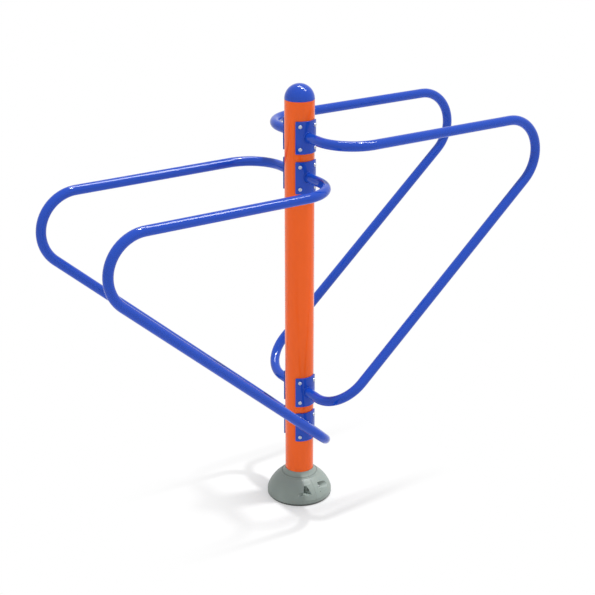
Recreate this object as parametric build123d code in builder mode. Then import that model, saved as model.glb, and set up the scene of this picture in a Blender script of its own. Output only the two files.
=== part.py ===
from build123d import *
from math import acos, degrees, radians, tan
import os

# Dip station of an outdoor gym: a round post carries two pairs of parallel bars, one pair on each
# side and one pair a step higher than the other. Each bar is one bent tube that leaves the post,
# runs out level, turns down and comes back slanting to the post lower down.
# Millimetres, +Z up, origin on the ground at the post's axis. The higher pair reaches along +X,
# and the side with the rails named front faces -Y.

# Post: a round steel tube that stands on the ground flange and ends above the higher bars
post_d = 114.3
post_wall = 3.6
post_over_bars = 134.2

# Ground flange, foot weld and gussets. The flange reaches past the post, its anchor holes lie in
# from its edge, and so do the ends of the gussets
flange_reach = 47.85
flange_t = 12.0
flange_edge = 1.5
drain_d = 25.0
anchor_inset = 20.0
anchor_hole_d = 14.0
anchor_count = 4
foot_weld_leg = 5.0
gusset_count = 4
gusset_t = 8.0
gusset_inset = 10.0
gusset_h = 55.0
gusset_nose = 8.0
gusset_snipe = 10.0

# Cap: a hollow dome with a spigot that slips into the post
cap_wall = 3.0
cap_lip_h = 1.3
cap_spigot_h = 30.0
cap_spigot_gap = 0.4
joint_edge = 0.8

# Bent bars and the welds at their ends. The higher bars lie at bar_z, and the lower pair comes back
# to the post at bar_foot_z
bar_d = 38.1
bar_wall = 2.6
bar_spacing = 550.0
bar_z = 1517.0
bar_foot_z = 323.0
loop_corner_x = 1176.0
bend_r = 145.0
weld_gap = 0.2
weld_leg = 5.0
weld_land = 1.4

# Saddles: curved plates, welded to the ends of the bars and bolted to the post. Those of the lower
# pair sit close under those of the higher one
saddle_h = 124.0
saddle_gap = 29.6
saddle_t = 5.0
saddle_half_angle = 48.0
saddle_corner_r = 4.0
saddle_edge_r = 0.7
bolt_inset_angle = 17.0
bolt_inset_z = 19.0

# Button head bolts and the threaded inserts that hold them in the post
bolt_d = 8.0
bolt_len = 20.0
bolt_head_d = 14.5
bolt_head_h = 4.4
bolt_head_round = 3.2
bolt_key_af = 5.0
bolt_key_depth = 2.6
bolt_pin_d = 2.0
bolt_hole_gap = 0.5
thread_gap = 0.15
insert_wall = 1.5
insert_barrel_len = 17.0
insert_lip = 2.0
insert_head_t = 0.4
insert_gap = 0.1

# Base cover: two equal plastic halves that meet in the plane x = 0. The cover reaches past the
# flange and rises above the gussets. A hollow collar goes round the post and ends in a groove,
# which a sloping ring with a bead borders. A dome leads from there down to the upright rim, which
# stands on a toe set back under it
cover_reach = 25.5
cover_rise = 52.0
cover_wall = 3.0
cover_neck_gap = 0.8
cover_seam_gap = 0.6
collar_top_edge = 0.8
collar_t = 12.35
collar_h = 18.5
collar_hollow = 2.0
ring_lip = 1.0
ring_drop = 4.5
ring_step = 4.9
ring_bead_r = 1.6
dome_bulge = 8.0
rim_z = 23.5
toe_inset = 5.0
toe_h = 6.0

# Screw seats of the cover. One end of each half has a raised pad, turned off the square of the seam,
# with an open wedge-shaped pocket for a screw's head and a groove that drains it. The other end has
# a round scoop for the nut. Insets count from the rim, drops from the ring, and the heights and
# depths of pocket and scoop from the screw. The pad's angles and the pocket's are those of its sides
pad_turn = 15.0
pad_side = 11.1
pad_top_step = 1.0
pad_top_drop = 2.0
pad_brow_inset = 33.5
pad_brow_drop = 17.0
pad_face_inset = 21.0
pad_foot_inset = 11.0
pad_foot_z = 36.0
pad_end = 50.9
pad_end_angle = 24.0
head_wall_x = 20.0
head_seat_r = 6.5
head_corner_x = 33.0
head_corner_depth = 17.0
head_wall_angle = 21.0
head_side_angle = 36.0
pocket_over = 15.5
pocket_under = 16.5
drain_r = 6.0
drain_sink = 1.0
drain_out = 2.0
drain_len = 42.0
nut_wall_x = 23.0
scoop_r = 15.5
scoop_over = 2.0
scoop_len = 90.0
drip_hole_d = 4.0
drip_hole_angle = 12.3
drip_hole_under = 16.0
drip_hole_len = 17.0

# Screws and nuts that pull the two halves of the cover together
cover_screw_d = 6.0
cover_screw_z = 60.5
cover_screw_inset = 9.2
cover_screw_boss_d = 14.0
cover_screw_hole_gap = 0.3
cover_screw_over = 2.0
cover_screw_head_d = 11.0
cover_screw_head_h = 3.4
cover_screw_head_round = 2.2
cover_screw_key_af = 4.0
cover_screw_key_depth = 2.2
cover_screw_pin_d = 1.6
cover_nut_af = 10.0
cover_nut_h = 5.0
cover_nut_edge = 0.6

# Worked out from the sizes above
post_r = post_d / 2
post_top_z = bar_z + post_over_bars
flange_r = post_r + flange_reach
bar_r = bar_d / 2
pair_drop = saddle_h + saddle_gap
bar_rise = bar_z - pair_drop - bar_foot_z
saddle_in_r = post_r + insert_head_t + 2 * insert_gap
saddle_out_r = saddle_in_r + saddle_t
bolt_half_angle = saddle_half_angle - bolt_inset_angle
bolt_pitch_z = saddle_h - 2 * bolt_inset_z
insert_r = bolt_d / 2 + insert_wall
neck_r = post_r + cover_neck_gap
cover_h = flange_t + gusset_h + cover_rise
collar_r = neck_r + collar_t
groove_z = cover_h - collar_h
ring_r = collar_r + ring_step
ring_z = groove_z - ring_drop
rim_r = flange_r + cover_reach
toe_r = rim_r - toe_inset
dome_slope = (rim_r - ring_r) / (ring_z - rim_z)
dome_r = rim_r - (cover_screw_z - rim_z) * dome_slope + dome_bulge
cover_screw_y = dome_r - cover_screw_inset
head_corner_y = cover_screw_y - head_corner_depth
head_pocket_reach = rim_r - head_corner_y
pocket_h = pocket_over + pocket_under
pocket_floor_z = cover_screw_z - pocket_under
drain_y = cover_screw_y + drain_out
drain_z = pocket_floor_z + drain_r - drain_sink
scoop_z = cover_screw_z + scoop_over
pair_sides = {"right": 1, "left": -1}
face_sides = {"front": -1, "back": 1}
levels = ("upper", "lower")


def bar_end_z(pair, level):
    """Height at which a bar meets the post. The right pair is the higher one."""
    top = bar_z if pair == "right" else bar_z - pair_drop
    return top if level == "upper" else top - bar_rise


def bolt_planes(pair, face, level, distance):
    """Planes square to the four bolts of one saddle, at this distance from the post's axis."""
    planes = []
    for turn in (-bolt_half_angle, bolt_half_angle):
        outward = Vector(0, face_sides[face], 0).rotate(Axis.Z, turn)
        for rise in (-bolt_pitch_z / 2, bolt_pitch_z / 2):
            place = outward * distance + Vector(0, 0, bar_end_z(pair, level) + rise)
            planes.append(Plane(origin=place, x_dir=(0, 0, 1), z_dir=outward))
    return planes


def button_screw(d, length, head_d, head_h, head_round, key_af, key_depth, pin_d):
    """Button head screw along Z, its head's flat seat at z = 0, with a pin in its hexagon socket."""
    with BuildPart() as screw:
        with BuildSketch():
            Circle(head_d / 2)
        extrude(amount=head_h)
        fillet(screw.faces().sort_by(Axis.Z)[-1].edges(), head_round)
        with BuildSketch(Plane.XY.offset(head_h)):
            RegularPolygon(radius=key_af / 2, side_count=6, major_radius=False)
            Circle(pin_d / 2, mode=Mode.SUBTRACT)
        extrude(amount=-key_depth, mode=Mode.SUBTRACT)
        with BuildSketch():
            Circle(d / 2)
        extrude(amount=-length)
    return screw.part


def write(piece, label):
    """Name a finished piece and save it under that name."""
    piece.part.label = label
    export_step(piece.part, f"parts/{label}.step")


os.makedirs("parts", exist_ok=True)
saddle_places = [(pair, face, level) for pair in pair_sides for face in face_sides for level in levels]

# Post, with the holes for the threaded inserts
with BuildPart() as post:
    with BuildSketch(Plane.XY.offset(flange_t)):
        Circle(post_r)
        Circle(post_r - post_wall, mode=Mode.SUBTRACT)
    extrude(amount=post_top_z - flange_t)
    chamfer(post.faces().sort_by(Axis.Z)[-1].edges().sort_by(SortBy.RADIUS)[-1], joint_edge)
    for place in saddle_places:
        with Locations(*bolt_planes(*place, post_r)):
            Hole(insert_r + insert_gap, depth=2 * post_wall)
write(post, "main_post")

# Ground flange: four anchor holes, and a hole under the post that lets water out
with BuildPart() as flange:
    with BuildSketch():
        Circle(flange_r)
        Circle(drain_d / 2, mode=Mode.SUBTRACT)
        with PolarLocations(flange_r - anchor_inset, anchor_count, start_angle=180 / anchor_count):
            Circle(anchor_hole_d / 2, mode=Mode.SUBTRACT)
    extrude(amount=flange_t)
    chamfer(flange.faces().sort_by(Axis.Z)[-1].edges().sort_by(SortBy.RADIUS)[-1], flange_edge)
write(flange, "base_flange")

# Fillet weld round the foot of the post
with BuildPart() as foot_weld:
    weld_root = post_r + weld_gap
    with BuildSketch(Plane.XZ):
        with BuildLine():
            Polyline(
                (weld_root, flange_t),
                (weld_root + foot_weld_leg, flange_t),
                (weld_root, flange_t + foot_weld_leg),
                close=True,
            )
        make_face()
    revolve(axis=Axis.Z)
write(foot_weld, "foot_weld")

# Gussets between post and flange, with their corner cut off to clear the foot weld
for number in range(gusset_count):
    turn = number * 360 / gusset_count
    outward = Vector(1, 0, 0).rotate(Axis.Z, turn)
    with BuildPart() as gusset:
        with BuildSketch(Plane(origin=(0, 0, 0), x_dir=outward, z_dir=outward.rotate(Axis.Z, -90))):
            with BuildLine():
                Polyline(
                    (weld_root + gusset_snipe, flange_t),
                    (flange_r - gusset_inset, flange_t),
                    (flange_r - gusset_inset, flange_t + gusset_nose),
                    (weld_root + gusset_nose, flange_t + gusset_h),
                    (weld_root, flange_t + gusset_h),
                    (weld_root, flange_t + gusset_snipe),
                    close=True,
                )
            make_face()
        extrude(amount=gusset_t / 2, both=True)
    write(gusset, f"gusset_{number + 1}")

# Cap: half a hollow ball of the post's own radius, on a short straight lip
with BuildPart() as cap:
    spigot_r = post_r - post_wall - cap_spigot_gap
    bore_r = spigot_r - cap_wall
    bottom_z = post_top_z - cap_spigot_h
    dome_z = post_top_z + cap_lip_h
    inner_dome_r = post_r - cap_wall
    bore_angle = degrees(acos(bore_r / inner_dome_r))
    with BuildSketch(Plane.XZ):
        with BuildLine():
            CenterArc((0, dome_z), post_r, 0, 90)
            Line((0, dome_z + post_r), (0, dome_z + inner_dome_r))
            inner_dome = CenterArc((0, dome_z), inner_dome_r, 90, bore_angle - 90)
            Polyline(
                inner_dome @ 1,
                (bore_r, bottom_z),
                (spigot_r, bottom_z),
                (spigot_r, post_top_z),
                (post_r - joint_edge, post_top_z),
                (post_r, post_top_z + joint_edge),
                (post_r, dome_z),
            )
        make_face()
    revolve(axis=Axis.Z)
write(cap, "post_cap")

# Bars: each is one bent tube, coped at both ends to the curve of its saddles
for pair, pair_side in pair_sides.items():
    for face, face_side in face_sides.items():
        root_y = face_side * post_r
        bar_y = face_side * bar_spacing / 2
        upper_z = bar_end_z(pair, "upper")
        lower_z = bar_end_z(pair, "lower")
        with BuildPart() as rail:
            with BuildLine() as route:
                FilletPolyline(
                    (0, root_y, upper_z),
                    (0, bar_y, upper_z),
                    (pair_side * loop_corner_x, bar_y, upper_z),
                    (0, bar_y, lower_z),
                    (0, root_y, lower_z),
                    radius=bend_r,
                )
            centre_line = route.wires()[0]
            with BuildSketch(Plane(origin=centre_line @ 0, z_dir=centre_line % 0)):
                Circle(bar_r)
                Circle(bar_r - bar_wall, mode=Mode.SUBTRACT)
            sweep(path=centre_line)
            with BuildSketch():
                Circle(saddle_out_r + weld_gap)
            extrude(amount=post_top_z, mode=Mode.SUBTRACT)
        write(rail, f"rail_{pair}_{face}")

        # Weld beads at the two ends of the bar, which follow the curve of the saddles
        with BuildPart() as beads:
            with BuildSketch(Plane.XZ):
                with Locations((0, upper_z), (0, lower_z)):
                    Circle(bar_r + weld_gap + weld_leg)
                    Circle(bar_r + weld_gap, mode=Mode.SUBTRACT)
            extrude(amount=-bar_y)
            with BuildSketch():
                Circle(saddle_out_r + weld_gap + weld_leg)
                Circle(saddle_out_r + weld_gap, mode=Mode.SUBTRACT)
            extrude(amount=post_top_z, mode=Mode.INTERSECT)
            round_faces = beads.faces().filter_by(GeomType.CYLINDER)
            crown_r = saddle_out_r + weld_gap + weld_leg / 2
            crowns = [crown for crown in round_faces if crown.radius > crown_r]
            crown_edges = [edge for crown in crowns for edge in crown.outer_wire().edges()]
            chamfer(crown_edges, weld_leg - weld_land)
        write(beads, f"bar_weld_{pair}_{face}")

# Saddles, with their bolts and inserts
bolt = button_screw(
    bolt_d,
    bolt_len,
    bolt_head_d,
    bolt_head_h,
    bolt_head_round,
    bolt_key_af,
    bolt_key_depth,
    bolt_pin_d,
)
for place in saddle_places:
    pair, face, level = place
    centre_z = bar_end_z(pair, level)
    with BuildPart() as saddle:
        with BuildSketch(Plane.XY.offset(centre_z - saddle_h / 2)):
            with BuildLine():
                start = 90 * face_sides[face] - saddle_half_angle
                outer_arc = CenterArc((0, 0), saddle_out_r, start, 2 * saddle_half_angle)
                inner_arc = CenterArc((0, 0), saddle_in_r, start, 2 * saddle_half_angle)
                Line(outer_arc @ 0, inner_arc @ 0)
                Line(outer_arc @ 1, inner_arc @ 1)
            make_face()
        extrude(amount=saddle_h)
        fillet(saddle.edges().filter_by(GeomType.LINE).filter_by(Axis.Z, reverse=True), saddle_corner_r)
        outer_face = max(saddle.faces().filter_by(GeomType.CYLINDER), key=lambda curved: curved.radius)
        fillet(outer_face.outer_wire().edges(), saddle_edge_r)
        with Locations(*bolt_planes(*place, saddle_out_r)):
            Hole(bolt_d / 2 + bolt_hole_gap, depth=2 * saddle_t)
    write(saddle, f"saddle_{pair}_{face}_{level}")

    with BuildPart() as bolts:
        with Locations(*bolt_planes(*place, saddle_out_r)):
            add(bolt)
    write(bolts, f"bolts_{pair}_{face}_{level}")

    # The head of an insert lies curved between post and saddle, and its barrel goes into the post
    with BuildPart() as inserts:
        for seat in bolt_planes(*place, post_r):
            with BuildSketch(seat):
                Circle(insert_r + insert_lip)
            extrude(amount=post_wall, both=True)
        with BuildSketch():
            Circle(post_r + insert_gap + insert_head_t)
            Circle(post_r + insert_gap, mode=Mode.SUBTRACT)
        extrude(amount=post_top_z, mode=Mode.INTERSECT)
        for seat in bolt_planes(*place, post_r + insert_gap):
            with BuildSketch(seat):
                Circle(insert_r)
            extrude(amount=-insert_barrel_len)
            with BuildSketch(seat):
                Circle(bolt_d / 2 + thread_gap)
            extrude(amount=insert_barrel_len, both=True, mode=Mode.SUBTRACT)
    write(inserts, f"inserts_{pair}_{face}_{level}")

# Outline of the base cover on one side of the post, from the neck to the toe and up over the dome
with BuildSketch() as cover_outline:
    with BuildLine():
        Polyline(
            (neck_r, cover_h),
            (neck_r, 0),
            (toe_r, 0),
            (toe_r, toe_h),
            (rim_r, toe_h),
            (rim_r, rim_z),
        )
        SagittaArc((rim_r, rim_z), (ring_r, ring_z), -dome_bulge)
        Polyline((ring_r, ring_z), (collar_r + ring_lip, groove_z + ring_lip), (collar_r, groove_z))
        SagittaArc((collar_r, groove_z), (neck_r + collar_top_edge, cover_h), collar_hollow)
        Line((neck_r + collar_top_edge, cover_h), (neck_r, cover_h))
    make_face()

# Plan of the pocket for the screw's head: a wedge that opens towards the rim
with BuildSketch() as head_pocket_plan:
    with BuildLine():
        Polyline(
            (-head_corner_x, -head_corner_y),
            (head_pocket_reach * tan(radians(head_wall_angle)) - head_corner_x, -rim_r),
            (-head_pocket_reach * tan(radians(head_side_angle)) - head_corner_x, -rim_r),
            close=True,
        )
    make_face()

# The hollow inside one half of the cover, a wall's thickness within that outline and open to the
# ground and the post, less the walls of pocket, drain and scoop and the tubes round the screws
screw_ends = ((-cover_screw_y, head_wall_x), (cover_screw_y, nut_wall_x))
hollow_r = rim_r - cover_wall
hollow_neck_r = neck_r - cover_wall
hollow_top = (neck_r + collar_top_edge - cover_wall, cover_h - cover_wall)
hollow_collar = (collar_r - cover_wall, groove_z - cover_wall)
hollow_ring = (ring_r - cover_wall, ring_z - cover_wall)
with BuildPart() as cover_hollow:
    with BuildSketch(Plane.YZ):
        with BuildLine():
            Polyline(
                hollow_top,
                (hollow_neck_r, cover_h - cover_wall),
                (hollow_neck_r, -cover_wall),
                (toe_r - cover_wall, -cover_wall),
                (toe_r - cover_wall, toe_h + cover_wall),
                (hollow_r, toe_h + cover_wall),
                (hollow_r, rim_z),
            )
            SagittaArc((hollow_r, rim_z), hollow_ring, -dome_bulge)
            Line(hollow_ring, hollow_collar)
            SagittaArc(hollow_collar, hollow_top, collar_hollow)
        make_face()
    revolve(axis=Axis.Z, revolution_arc=180)
    with BuildSketch(Plane.XY.offset(pocket_floor_z - cover_wall)):
        add(head_pocket_plan.sketch)
        offset(amount=cover_wall, kind=Kind.INTERSECTION)
    extrude(amount=pocket_h + 2 * cover_wall, mode=Mode.SUBTRACT)
    with BuildSketch(Plane.YZ.offset(cover_wall - head_wall_x)):
        with Locations((-cover_screw_y, cover_screw_z)):
            Circle(head_seat_r + cover_wall)
    extrude(amount=head_wall_x - head_corner_x - cover_wall, mode=Mode.SUBTRACT)
    with BuildSketch(Plane.YZ.offset(-head_corner_x)):
        with Locations((-drain_y, drain_z)):
            Circle(drain_r + cover_wall)
    extrude(amount=-drain_len, mode=Mode.SUBTRACT)
    with BuildSketch(Plane.YZ.offset(cover_wall - nut_wall_x)):
        with Locations((cover_screw_y, scoop_z)):
            Circle(scoop_r + cover_wall)
    extrude(amount=-scoop_len, mode=Mode.SUBTRACT)
    for screw_y, wall_x in screw_ends:
        with BuildSketch(Plane.YZ):
            with Locations((screw_y, cover_screw_z)):
                Circle(cover_screw_boss_d / 2)
        extrude(amount=-wall_x, mode=Mode.SUBTRACT)

# Raised pad over the pocket. Its top slopes to a brow, and its end at the seam is cut off askew
pad_way = Vector(0, -1, 0).rotate(Axis.Z, -pad_turn)
with BuildPart() as pad:
    with BuildSketch(Plane(origin=(0, 0, 0), x_dir=pad_way, z_dir=pad_way.rotate(Axis.Z, -90))):
        with BuildLine():
            Polyline(
                (collar_r, ring_z - pad_top_drop),
                (ring_r + pad_top_step, ring_z - pad_top_drop),
                (rim_r - pad_brow_inset, ring_z - pad_brow_drop),
                (rim_r - pad_face_inset, cover_screw_z),
                (rim_r - pad_foot_inset, pad_foot_z),
                (collar_r, pad_foot_z),
                close=True,
            )
        make_face()
    extrude(amount=rim_r, both=True)
    side_way = pad_way.rotate(Axis.Z, -90)
    split(bisect_by=Plane(origin=side_way * pad_side, z_dir=side_way), keep=Keep.BOTTOM)
    end_way = side_way.rotate(Axis.Z, -pad_end_angle)
    split(bisect_by=Plane(origin=-end_way * pad_end, z_dir=end_way), keep=Keep.TOP)
    with BuildSketch():
        Circle(rim_r)
    extrude(amount=cover_h, mode=Mode.INTERSECT)

# One half of the cover. The other is the same moulding, turned half round the post
with BuildPart() as cover_left:
    with BuildSketch(Plane.YZ):
        add(cover_outline.sketch)
        with Locations((ring_r, ring_z)):
            Circle(ring_bead_r)
    revolve(axis=Axis.Z, revolution_arc=180)
    add(pad.part)
    add(cover_hollow.part, mode=Mode.SUBTRACT)
    with BuildSketch(Plane.XY.offset(pocket_floor_z)):
        add(head_pocket_plan.sketch)
    extrude(amount=pocket_h, mode=Mode.SUBTRACT)
    with BuildSketch(Plane.YZ.offset(-head_wall_x)):
        with Locations((-cover_screw_y, cover_screw_z)):
            Circle(head_seat_r)
    extrude(amount=head_wall_x - head_corner_x, mode=Mode.SUBTRACT)
    with BuildSketch(Plane.YZ.offset(-head_corner_x)):
        with Locations((-drain_y, drain_z)):
            Circle(drain_r)
    extrude(amount=-drain_len, mode=Mode.SUBTRACT)
    with BuildSketch(Plane.YZ.offset(-nut_wall_x)):
        with Locations((cover_screw_y, scoop_z)):
            Circle(scoop_r)
    extrude(amount=-scoop_len, mode=Mode.SUBTRACT)
    for screw_y, wall_x in screw_ends:
        with BuildSketch(Plane.YZ):
            with Locations((screw_y, cover_screw_z)):
                Circle(cover_screw_d / 2 + cover_screw_hole_gap)
        extrude(amount=-wall_x, mode=Mode.SUBTRACT)
    drip_way = Vector(0, 1, 0).rotate(Axis.Z, drip_hole_angle)
    drip_place = drip_way * rim_r + Vector(0, 0, cover_screw_z - drip_hole_under)
    with Locations(Plane(origin=drip_place, z_dir=drip_way)):
        Hole(drip_hole_d / 2, depth=drip_hole_len)
    split(bisect_by=Plane.YZ.offset(-cover_seam_gap / 2), keep=Keep.BOTTOM)
write(cover_left, "cover_left")

with BuildPart() as cover_right:
    with Locations(Location((0, 0, 0), (0, 0, 180))):
        add(cover_left.part)
write(cover_right, "cover_right")

# Screws and nuts of the cover: one of each at the front, one of each at the back
cover_screw = button_screw(
    cover_screw_d,
    head_wall_x + nut_wall_x + cover_nut_h + cover_screw_over,
    cover_screw_head_d,
    cover_screw_head_h,
    cover_screw_head_round,
    cover_screw_key_af,
    cover_screw_key_depth,
    cover_screw_pin_d,
)
head_seats = []
nut_seats = []
for side in (-1, 1):
    head_place = (side * head_wall_x, side * cover_screw_y, cover_screw_z)
    nut_place = (-side * nut_wall_x, side * cover_screw_y, cover_screw_z)
    head_seats.append(Plane(origin=head_place, x_dir=(0, 0, 1), z_dir=(side, 0, 0)))
    nut_seats.append(Plane(origin=nut_place, x_dir=(0, 0, 1), z_dir=(-side, 0, 0)))

with BuildPart() as cover_screws:
    with Locations(*head_seats):
        add(cover_screw)
write(cover_screws, "cover_screws")

with BuildPart() as cover_nut:
    with BuildSketch():
        RegularPolygon(radius=cover_nut_af / 2, side_count=6, major_radius=False)
    extrude(amount=cover_nut_h)
    chamfer(cover_nut.faces().sort_by(Axis.Z)[-1].edges(), cover_nut_edge)
    Hole(cover_screw_d / 2 + thread_gap)

with BuildPart() as cover_nuts:
    with Locations(*nut_seats):
        add(cover_nut.part)
write(cover_nuts, "cover_nuts")
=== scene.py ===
# Dip station: the looks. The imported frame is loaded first, and each piece then gets its finish in
# the order in which the station is put together. All sizes are in metres.
from math import pi, radians

import bpy
from mathutils import Matrix, Vector


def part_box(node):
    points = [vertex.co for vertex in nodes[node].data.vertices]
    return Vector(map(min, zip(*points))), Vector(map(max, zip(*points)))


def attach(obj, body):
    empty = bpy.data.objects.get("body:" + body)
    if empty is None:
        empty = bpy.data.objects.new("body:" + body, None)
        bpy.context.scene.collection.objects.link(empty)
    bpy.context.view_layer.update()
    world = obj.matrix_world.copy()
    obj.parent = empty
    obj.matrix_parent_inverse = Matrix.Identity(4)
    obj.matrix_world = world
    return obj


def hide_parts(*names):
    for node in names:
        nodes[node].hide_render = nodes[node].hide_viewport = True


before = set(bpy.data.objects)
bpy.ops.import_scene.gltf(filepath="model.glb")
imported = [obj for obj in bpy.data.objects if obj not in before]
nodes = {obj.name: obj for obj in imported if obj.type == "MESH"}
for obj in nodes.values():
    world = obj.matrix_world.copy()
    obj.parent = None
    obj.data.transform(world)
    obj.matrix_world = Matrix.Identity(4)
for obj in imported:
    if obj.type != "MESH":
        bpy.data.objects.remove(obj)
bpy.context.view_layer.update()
scene = bpy.context.scene
scene.view_settings.view_transform = "Standard"

# Camera. It stands in front and to the left, about a metre above the top of the post, and looks
# down at the station as the photograph does. Its sensor and lens are given in millimetres.
camera_place = (-2.7066, -4.1067, 2.8183)
camera_down = 0.3787
camera_turn = -0.5812
camera_sensor = 36.0
camera_lens = 81.91

camera_data = bpy.data.cameras.new("camera")
camera_data.sensor_width = camera_sensor
camera_data.lens = camera_lens
camera = bpy.data.objects.new("camera", camera_data)
camera.location = camera_place
camera.rotation_euler = (radians(90) - camera_down, 0.0, camera_turn)
scene.collection.objects.link(camera)
scene.camera = camera

# Post. A round steel tube, blasted, coated with orange powder and baked. The coat is even and
# glossy, with a fine orange peel, and a little thinner and lighter on the sharp edges.
orange = (0.88, 0.112, 0.002, 1.0)
orange_gloss = 0.08
orange_peel_size = 0.0016
orange_peel_depth = 0.000003
coat_ior = 1.5
coat_specular = 0.3
coat_clouds_per_metre = 7.0
coat_cloud_share = 0.05
coat_patches_per_metre = 26.0
coat_patch_span = (0.3, 0.75)
coat_patch_dulling = 0.05
edge_radius = 0.0012
edge_turn_span = (0.99, 0.8)
edge_spots_per_metre = 90.0
edge_spot_span = (0.42, 0.62)
edge_pale_grey = 0.5
edge_pale_share = 0.4
edge_thinning = 0.25
edge_dulling = 0.2


def node(tree, kind, values=None, **settings):
    """Add one node. Inputs are given by name or number, as values or as another node's output."""
    made = tree.nodes.new(kind)
    for key, value in settings.items():
        setattr(made, key, value)
    for key, value in (values or {}).items():
        if isinstance(value, bpy.types.NodeSocket):
            tree.links.new(value, made.inputs[key])
        else:
            made.inputs[key].default_value = value
    return made


def new_finish(name):
    """An empty finish: its node tree, its shader, and the place that its patterns follow."""
    material = bpy.data.materials.new(name)
    material.use_nodes = True
    tree = material.node_tree
    place = node(tree, "ShaderNodeTexCoord").outputs["Object"]
    return material, tree, tree.nodes["Principled BSDF"], place


def noise(tree, place, per_metre, detail, **more):
    """A cloudy pattern with so many spots to the metre."""
    values = {"Vector": place, "Scale": per_metre, "Detail": detail, **more}
    return node(tree, "ShaderNodeTexNoise", values).outputs["Fac"]


def spread(tree, pattern, low, high, at_low=0.0, at_high=1.0):
    """The pattern stretched so that it runs from one value at low to another at high."""
    return node(tree, "ShaderNodeMapRange",
                {"Value": pattern, "From Min": low, "From Max": high,
                 "To Min": at_low, "To Max": at_high}).outputs[0]


def times(tree, first, second):
    """Two patterns, or a pattern and a number, multiplied."""
    return node(tree, "ShaderNodeMath", {0: first, 1: second}, operation="MULTIPLY").outputs[0]


def mixed(tree, mask, plain, other):
    """The plain colour where the mask is 0, and the other where it is 1."""
    # Inputs 6 and 7 and output 2 of a Mix node are its colours.
    return node(tree, "ShaderNodeMix", {0: mask, 6: plain, 7: other}, data_type="RGBA").outputs[2]


def shade(tree, colour, amount, pattern):
    """The colour made darker and lighter by a share, after a pattern that runs from 0 to 1."""
    dark = tuple(c * (1 - amount) for c in colour[:3]) + (1.0,)
    light = tuple(min(c * (1 + amount), 1.0) for c in colour[:3]) + (1.0,)
    return mixed(tree, pattern, dark, light)


def worn_edge(tree, place, radius):
    """A mask that is 1 on broken spots along the sharp edges and 0 on the faces."""
    round_off = node(tree, "ShaderNodeBevel", {"Radius": radius}, samples=6)
    face = node(tree, "ShaderNodeNewGeometry")
    turn = node(tree, "ShaderNodeVectorMath",
                {0: round_off.outputs["Normal"], 1: face.outputs["Normal"]},
                operation="DOT_PRODUCT")
    edge = spread(tree, turn.outputs["Value"], *edge_turn_span)
    spots = noise(tree, place, edge_spots_per_metre, 4.0)
    return times(tree, edge, spread(tree, spots, *edge_spot_span))


def raise_grain(tree, shader, pattern, depth):
    """Let a pattern stand up from the surface, by the depth at most."""
    bump = node(tree, "ShaderNodeBump", {"Height": pattern, "Strength": 1.0, "Distance": depth})
    tree.links.new(bump.outputs["Normal"], shader.inputs["Normal"])


def powder_coat(name, colour, gloss):
    """A baked powder coat of one colour."""
    material, tree, shader, place = new_finish(name)
    cloud = noise(tree, place, coat_clouds_per_metre, 5.0)
    even = shade(tree, colour, coat_cloud_share, cloud)
    pale = tuple((1 - edge_pale_share) * c + edge_pale_share * edge_pale_grey
                 for c in colour[:3]) + (1.0,)
    edge = worn_edge(tree, place, edge_radius)
    worn = mixed(tree, times(tree, edge, edge_thinning), even, pale)
    tree.links.new(worn, shader.inputs["Base Color"])

    handled = noise(tree, place, coat_patches_per_metre, 6.0)
    dull = spread(tree, handled, *coat_patch_span, gloss, gloss + coat_patch_dulling)
    rough = node(tree, "ShaderNodeMath", {0: edge, 1: edge_dulling, 2: dull},
                 operation="MULTIPLY_ADD")
    tree.links.new(rough.outputs[0], shader.inputs["Roughness"])

    peel = noise(tree, place, 1 / orange_peel_size, 1.5, Roughness=0.4)
    raise_grain(tree, shader, peel, orange_peel_depth)
    shader.inputs["IOR"].default_value = coat_ior
    shader.inputs["Specular IOR Level"].default_value = coat_specular
    return material


def give(material, *names):
    """Give CAD nodes their finish, in every slot that they have."""
    for name in names:
        for slot in nodes[name].material_slots:
            slot.material = material


orange_coat = powder_coat("orange_powder_coat", orange, orange_gloss)
give(orange_coat, "main_post")

# Foot. The ground flange, its fillet weld and the four gussets are steel plate, welded to the post
# before it is coated, so they have the post's orange coat. The cover hides them.
give(orange_coat, "base_flange", "foot_weld", "gusset_1", "gusset_2", "gusset_3", "gusset_4")

# Cap. A hollow half ball of steel on a short straight lip, with the blue powder coat. Its spigot
# slips into the top of the post and closes it against the rain.
blue = (0.008, 0.06, 0.445, 1.0)
blue_gloss = 0.055

blue_coat = powder_coat("blue_powder_coat", blue, blue_gloss)
give(blue_coat, "post_cap")

# Bars. Four steel tubes, two a side, each bent at its three corners and cut to the curve of the
# saddles at both ends. They are welded to the saddles, blasted and coated blue with them.
sides = ("right", "left")
rows = ("front", "back")

for side in sides:
    for row in rows:
        give(blue_coat, f"rail_{side}_{row}")

# Saddles. Eight steel plates rolled to the curve of the post, one at each end of each bar, which
# carry the bars. They have the blue powder coat.
heights = ("upper", "lower")

for side in sides:
    for row in rows:
        for height in heights:
            give(blue_coat, f"saddle_{side}_{row}_{height}")

# Bar welds. Beads run round each bar where it meets its saddle. One is modelled at the origin, with
# the ripples of the welding arc, bent to the saddle, and copied to the eight bar ends.
bar_r = 0.01905
saddle_r = 0.06275
bead_r = 0.0028
bead_over_bar = 0.0018
bead_over_saddle = 0.0012
bead_ring_r = bar_r + bead_over_bar
bead_segments = 12
bead_ripples = 44
steps_per_ripple = 4
ripple_crest = (1, 2)
bead_swell = 1.04
bead_width = 2 * (bead_ring_r + bead_r * bead_swell)


def deselect_all():
    """Leave nothing selected, so that the next operators act on the new piece alone."""
    for thing in bpy.context.selected_objects:
        thing.select_set(False)


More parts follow.
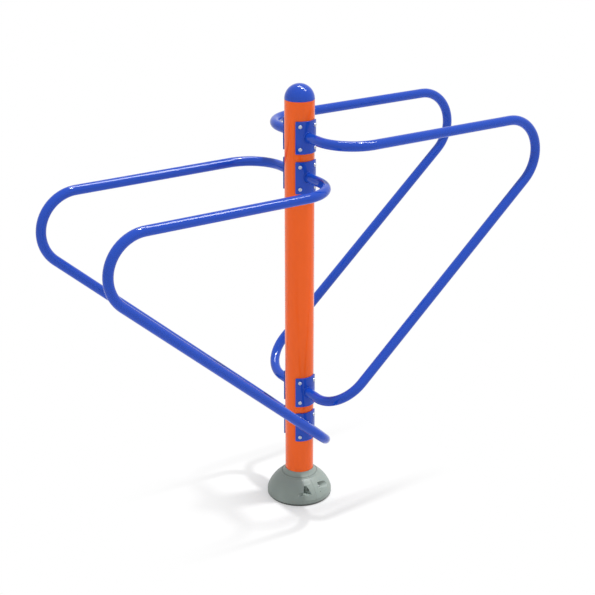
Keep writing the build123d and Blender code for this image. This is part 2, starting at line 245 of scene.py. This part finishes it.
deselect_all()
bpy.ops.mesh.primitive_torus_add(major_segments=steps_per_ripple * bead_ripples,
                                 minor_segments=bead_segments,
                                 major_radius=bead_ring_r, minor_radius=bead_r,
                                 rotation=(radians(90), 0.0, 0.0))
bead = bpy.context.object
bead.name = "bead"
bpy.ops.object.transform_apply(location=True, rotation=True, scale=True)
bpy.ops.object.mode_set(mode="EDIT")
bpy.ops.mesh.select_all(action="DESELECT")
bpy.ops.object.mode_set(mode="OBJECT")
for vertex in bead.data.vertices:
    # The middle two of the four steps of a ripple are its crest, which swells out.
    step = vertex.index // bead_segments
    vertex.select = step % steps_per_ripple in ripple_crest
bpy.ops.object.mode_set(mode="EDIT")
bpy.ops.transform.shrink_fatten(value=bead_r * (bead_swell - 1))
bpy.ops.mesh.select_all(action="SELECT")
bpy.ops.mesh.normals_make_consistent(inside=False)
bpy.ops.object.mode_set(mode="OBJECT")
bend = bead.modifiers.new("to_saddle", "SIMPLE_DEFORM")
bend.deform_method = "BEND"
bend.deform_axis = "Z"
bend.angle = bead_width / saddle_r
bpy.ops.object.modifier_apply(modifier=bend.name)

for side in sides:
    for row in rows:
        node_name = f"bar_weld_{side}_{row}"
        turn = 0.0 if row == "front" else pi
        ends = []
        for height in heights:
            saddle_low, saddle_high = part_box(f"saddle_{side}_{row}_{height}")
            end = bead.copy()
            end.data = bead.data.copy()
            scene.collection.objects.link(end)
            middle = (saddle_low[2] + saddle_high[2]) / 2
            end.data.transform(Matrix.Rotation(turn, 4, "Z") @
                               Matrix.Translation((0.0, -saddle_r - bead_over_saddle, 0.0)))
            end.data.transform(Matrix.Translation((0.0, 0.0, middle)))
            ends.append(end)
        deselect_all()
        for end in ends:
            end.select_set(True)
        bpy.context.view_layer.objects.active = ends[0]
        bpy.ops.object.join()
        weld = ends[0]
        weld.name = f"weld_beads_{side}_{row}"
        bpy.ops.object.shade_smooth()
        weld.data.materials.clear()
        weld.data.materials.append(blue_coat)
        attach(weld, "root")
        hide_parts(node_name)
bpy.data.objects.remove(bead)

# Bolts and inserts. Button head bolts of stainless steel hold each saddle, in threaded inserts of
# zinc plated steel that are set in the wall of the post.
stainless = (0.57, 0.59, 0.65, 1.0)
zinc = (0.62, 0.66, 0.7, 1.0)
stainless_rough = (0.26, 0.42)
zinc_rough = (0.25, 0.42)
stainless_scratch = 0.0006
zinc_scratch = 0.0009
scratch_depth = 0.00001
tint_spots_per_metre = 240.0
tint_share = 0.09
mark_span = (0.3, 0.7)


def bare_metal(name, colour, rough_span, scratch_size):
    """Bare or plated metal with fine turning marks and a slightly uneven gloss."""
    material, tree, shader, place = new_finish(name)
    tint = noise(tree, place, tint_spots_per_metre, 3.0)
    tree.links.new(shade(tree, colour, tint_share, tint), shader.inputs["Base Color"])
    marks = noise(tree, place, 1 / scratch_size, 3.0, Distortion=0.6)
    rough = spread(tree, marks, *mark_span, *rough_span)
    tree.links.new(rough, shader.inputs["Roughness"])
    raise_grain(tree, shader, marks, scratch_depth)
    shader.inputs["Metallic"].default_value = 1.0
    return material


stainless_steel = bare_metal("stainless_steel", stainless, stainless_rough, stainless_scratch)
zinc_plate = bare_metal("zinc_plate", zinc, zinc_rough, zinc_scratch)
for side in sides:
    for row in rows:
        for height in heights:
            give(stainless_steel, f"bolts_{side}_{row}_{height}")
            give(zinc_plate, f"inserts_{side}_{row}_{height}")

# Foot cover. Two halves of green-grey plastic, moulded with a fine grain, closed round the post
# over the flange and held by a screw at the front and one at the back. Its colour has painted
# light: the side towards the sun is painted lighter and the far side darker. Painted shade lies
# along its toe and in the groove under its collar.
cover_grey = (0.28, 0.33, 0.302, 1.0)
cover_clouds_per_metre = 12.0
cover_cloud_share = 0.06
cover_cloud_span = (0.3, 0.7)
cover_rough = (0.4, 0.52)
cover_grain_size = 0.0007
cover_grain_depth = 0.00003
cover_specular = 0.4
cover_edge_radius = 0.002
cover_edge_lightening = 1.35
cover_edge_share = 0.35
# Painted light and shade: the side facing away from the sun is painted darker by this share.
shaded_share = 0.83
painted_light_towards = (0.8, -0.2, 0.56)
painted_light_span = (0.12, 0.5)
# Painted shade: a dark grey painted along the toe and in the groove under the collar.
painted_shade_grey = (0.045, 0.05, 0.047, 1.0)
toe_h = 0.006
toe_shade_low = 0.0025
toe_shade_high = 0.005
toe_shade_share = 0.85
cover_top_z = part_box("cover_left")[1][2]
groove_below_top = 0.0182
groove_z = cover_top_z - groove_below_top
groove_half_h = 0.0009
groove_shade_share = 0.32


def moulded_plastic(name, colour):
    """Moulded plastic with a fine grain, a faint cloud in its colour, a satin gloss, and painted
    light and shade.
    """
    material, tree, shader, place = new_finish(name)
    cloud = noise(tree, place, cover_clouds_per_metre, 6.0)
    # Painted light and shade: a lit and a shaded copy of the colour, mixed by how far the surface
    # faces the sun.
    painted_lit = shade(tree, colour, cover_cloud_share, cloud)
    shaded = shade(tree, tuple(c * shaded_share for c in colour[:3]), cover_cloud_share, cloud)
    way = node(tree, "ShaderNodeTexCoord").outputs["Normal"]
    sunny = node(tree, "ShaderNodeVectorMath", {0: way, 1: painted_light_towards},
                 operation="DOT_PRODUCT")
    painted_light_mask = spread(tree, sunny.outputs["Value"], *painted_light_span)
    even = mixed(tree, painted_light_mask, shaded, painted_lit)

    pale = tuple(min(c * cover_edge_lightening, 1.0) for c in colour[:3]) + (1.0,)
    edge = worn_edge(tree, place, cover_edge_radius)
    worn = mixed(tree, times(tree, edge, cover_edge_share), even, pale)

    # Painted shade: a thin dark band in the groove under the collar, and a dark band along the toe.
    height = node(tree, "ShaderNodeSeparateXYZ", {0: place}).outputs["Z"]
    groove_shade_mask = node(tree, "ShaderNodeMath", {0: height, 1: groove_z, 2: groove_half_h},
                  operation="COMPARE").outputs[0]
    groove_shaded = mixed(tree, times(tree, groove_shade_mask, groove_shade_share), worn, painted_shade_grey)
    toe_shade = spread(tree, height, toe_h + toe_shade_high, toe_h + toe_shade_low,
                    0.0, toe_shade_share)
    tree.links.new(mixed(tree, toe_shade, groove_shaded, painted_shade_grey), shader.inputs["Base Color"])

    rough = spread(tree, cloud, *cover_cloud_span, *cover_rough)
    tree.links.new(rough, shader.inputs["Roughness"])
    grain = noise(tree, place, 1 / cover_grain_size, 2.0)
    raise_grain(tree, shader, grain, cover_grain_depth)
    shader.inputs["Specular IOR Level"].default_value = cover_specular
    return material


cover_plastic = moulded_plastic("cover_plastic", cover_grey)
give(cover_plastic, "cover_left", "cover_right")

# Cover screws and nuts. Blackened steel, one screw and one nut at the front and at the back. They
# draw the two halves together and lie sunk in the pockets and scoops of the cover.
black_oxide = (0.1, 0.102, 0.108, 1.0)
black_rough = (0.35, 0.5)
black_scratch = 0.0006

black_steel = bare_metal("black_steel", black_oxide, black_rough, black_scratch)
give(black_steel, "cover_screws", "cover_nuts")

# Studio. A white floor in white surroundings, pure white where they are seen, directly or in a
# gloss, and the floor keeps the station's shadow. A sun-like lamp above and a little to the right
# makes the shadow, and a long strip lamp makes the thin lines of light on the blue tubes.
floor_size = 60.0
floor_drop = 0.0003
floor_white = 0.8
shadow_near = 0.6
shadow_from = 0.13
shadow_to = 0.9
shadow_falloff = 3.0
pure_white = (1.0, 1.0, 1.0, 1.0)
room_light = 0.74
sun_towards = (0.23, -0.067, 1.0)
sun_strength = 2.2
sun_angle = radians(3.2)
strip_from = Vector((0.5, -0.38, 0.78))
strip_to = Vector((0.106, 0.444, 0.89))
strip_distance = 12.0
strip_lift = 1.5
strip_width = 1.8
strip_glow = 21.0


def is_seen(tree):
    """1 for what is seen directly, in a gloss or through glass, and 0 for other light."""
    path = node(tree, "ShaderNodeLightPath")
    first = node(tree, "ShaderNodeMath", {0: path.outputs["Is Camera Ray"],
                 1: path.outputs["Is Glossy Ray"]}, operation="MAXIMUM")
    both = node(tree, "ShaderNodeMath", {0: first.outputs[0],
                1: path.outputs["Is Transmission Ray"]}, operation="MAXIMUM")
    return both.outputs[0]


deselect_all()
bpy.ops.mesh.primitive_plane_add(size=floor_size, location=(0.0, 0.0, -floor_drop))
floor = bpy.context.object
floor.name = "floor"
floor_paint = bpy.data.materials.new("floor_paint")
floor_paint.use_nodes = True
tree = floor_paint.node_tree
tree.nodes.remove(tree.nodes["Principled BSDF"])
lit = node(tree, "ShaderNodeBsdfDiffuse", {"Color": (floor_white, floor_white, floor_white, 1.0)})
white = node(tree, "ShaderNodeEmission", {"Color": pure_white, "Strength": 1.0})
floor_place = node(tree, "ShaderNodeTexCoord").outputs["Object"]
from_post = node(tree, "ShaderNodeVectorMath", {0: floor_place}, operation="LENGTH")
near = spread(tree, from_post.outputs["Value"], shadow_from, shadow_to, 1.0, 0.0)
keep = node(tree, "ShaderNodeMath", {0: near, 1: shadow_falloff}, operation="POWER")
clear = node(tree, "ShaderNodeMath", {0: keep.outputs[0], 1: -shadow_near, 2: 1.0},
             operation="MULTIPLY_ADD")
share = times(tree, is_seen(tree), clear.outputs[0])
shown = node(tree, "ShaderNodeMixShader", {0: share, 1: lit.outputs[0], 2: white.outputs[0]})
tree.links.new(shown.outputs[0], tree.nodes["Material Output"].inputs["Surface"])
floor.data.materials.append(floor_paint)

room = bpy.data.worlds.new("room")
scene.world = room
room.use_nodes = True
tree = room.node_tree
strength = spread(tree, is_seen(tree), 0.0, 1.0, room_light, 1.0)
tree.nodes["Background"].inputs["Color"].default_value = pure_white
tree.links.new(strength, tree.nodes["Background"].inputs["Strength"])

sun_data = bpy.data.lights.new("sun", "SUN")
sun_data.energy = sun_strength
sun_data.angle = sun_angle
sun = bpy.data.objects.new("sun", sun_data)
sun.rotation_euler = Vector(sun_towards).to_track_quat("Z", "Y").to_euler()
scene.collection.objects.link(sun)

strip_start = strip_from.normalized() * strip_distance
strip_end = strip_to.normalized() * strip_distance
along = (strip_end - strip_start).normalized()
centre = (strip_start + strip_end) / 2
facing = centre.normalized()
across = facing.cross(along).normalized()
strip_data = bpy.data.lights.new("strip", "AREA")
strip_data.shape = "RECTANGLE"
strip_data.size = (strip_end - strip_start).length
strip_data.size_y = strip_width
strip_data.energy = strip_glow * pi * strip_data.size * strip_data.size_y
strip = bpy.data.objects.new("strip", strip_data)
strip.matrix_world = Matrix((along, across, facing)).transposed().to_4x4()
strip.location = centre + Vector((0.0, 0.0, strip_lift))
strip.visible_diffuse = False
strip.visible_camera = False
scene.collection.objects.link(strip)
